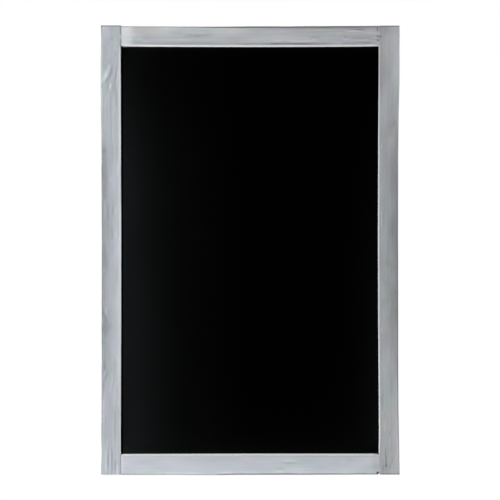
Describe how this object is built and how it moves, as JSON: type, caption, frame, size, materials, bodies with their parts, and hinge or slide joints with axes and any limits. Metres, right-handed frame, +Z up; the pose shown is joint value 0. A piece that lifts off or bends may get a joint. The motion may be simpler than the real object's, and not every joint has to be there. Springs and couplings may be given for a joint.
{
  "type": "menu chalkboard",
  "caption": "Upright wall chalkboard: black writing panel recessed in a grey-washed wooden frame, with swinging D-ring hangers and rubber bumpers on the back.",
  "frame": {"origin": "midway between the two hanger rings, at the height of their hinge axes, on the back face of the wooden frame", "axes": "+X to the right as seen from the front, +Y out of the back towards the wall, +Z up"},
  "size_m": [0.4, 0.0233, 0.6],
  "materials": {
    "grey_washed_wood": "thin pale grey wash, matt, grain showing through",
    "black_writing_laminate": "matt black writing surface",
    "brown_hardboard": "bare hardboard",
    "beech": "bare",
    "bright_steel": "bright",
    "zinc_plate": "zinc plated",
    "dark_rubber": "matt"
  },
  "bodies": {
    "board": {"left_stile": "grey_washed_wood", "right_stile": "grey_washed_wood", "top_rail": "grey_washed_wood", "bottom_rail": "grey_washed_wood", "writing_sheet": "black_writing_laminate", "hardboard_back": "brown_hardboard", "dowel_top_left_outer": "beech", "dowel_top_left_inner": "beech", "dowel_bottom_left_outer": "beech", "dowel_bottom_left_inner": "beech", "dowel_top_right_outer": "beech", "dowel_top_right_inner": "beech", "dowel_bottom_right_outer": "beech", "dowel_bottom_right_inner": "beech", "panel_point_left_1": "bright_steel", "panel_point_left_2": "bright_steel", "panel_point_left_3": "bright_steel", "panel_point_right_1": "bright_steel", "panel_point_right_2": "bright_steel", "panel_point_right_3": "bright_steel", "panel_point_top_1": "bright_steel", "panel_point_top_2": "bright_steel", "panel_point_bottom_1": "bright_steel", "panel_point_bottom_2": "bright_steel", "hanger_strap_left": "bright_steel", "hanger_screw_left": "zinc_plate", "wall_bumper_left": "dark_rubber", "hanger_strap_right": "bright_steel", "hanger_screw_right": "zinc_plate", "wall_bumper_right": "dark_rubber"},
    "left_ring": {"hanger_ring_left": "zinc_plate"},
    "right_ring": {"hanger_ring_right": "zinc_plate"}
  },
  "joints": [
    {"name": "left_ring_swing", "type": "hinge", "parent": "board", "child": "left_ring", "pos_m": [-0.191, 0.00235, 0], "axis": [1, 0, 0], "range_deg": [0, 175]},
    {"name": "right_ring_swing", "type": "hinge", "parent": "board", "child": "right_ring", "pos_m": [0.191, 0.00235, 0], "axis": [1, 0, 0], "range_deg": [0, 175]}
  ]
}
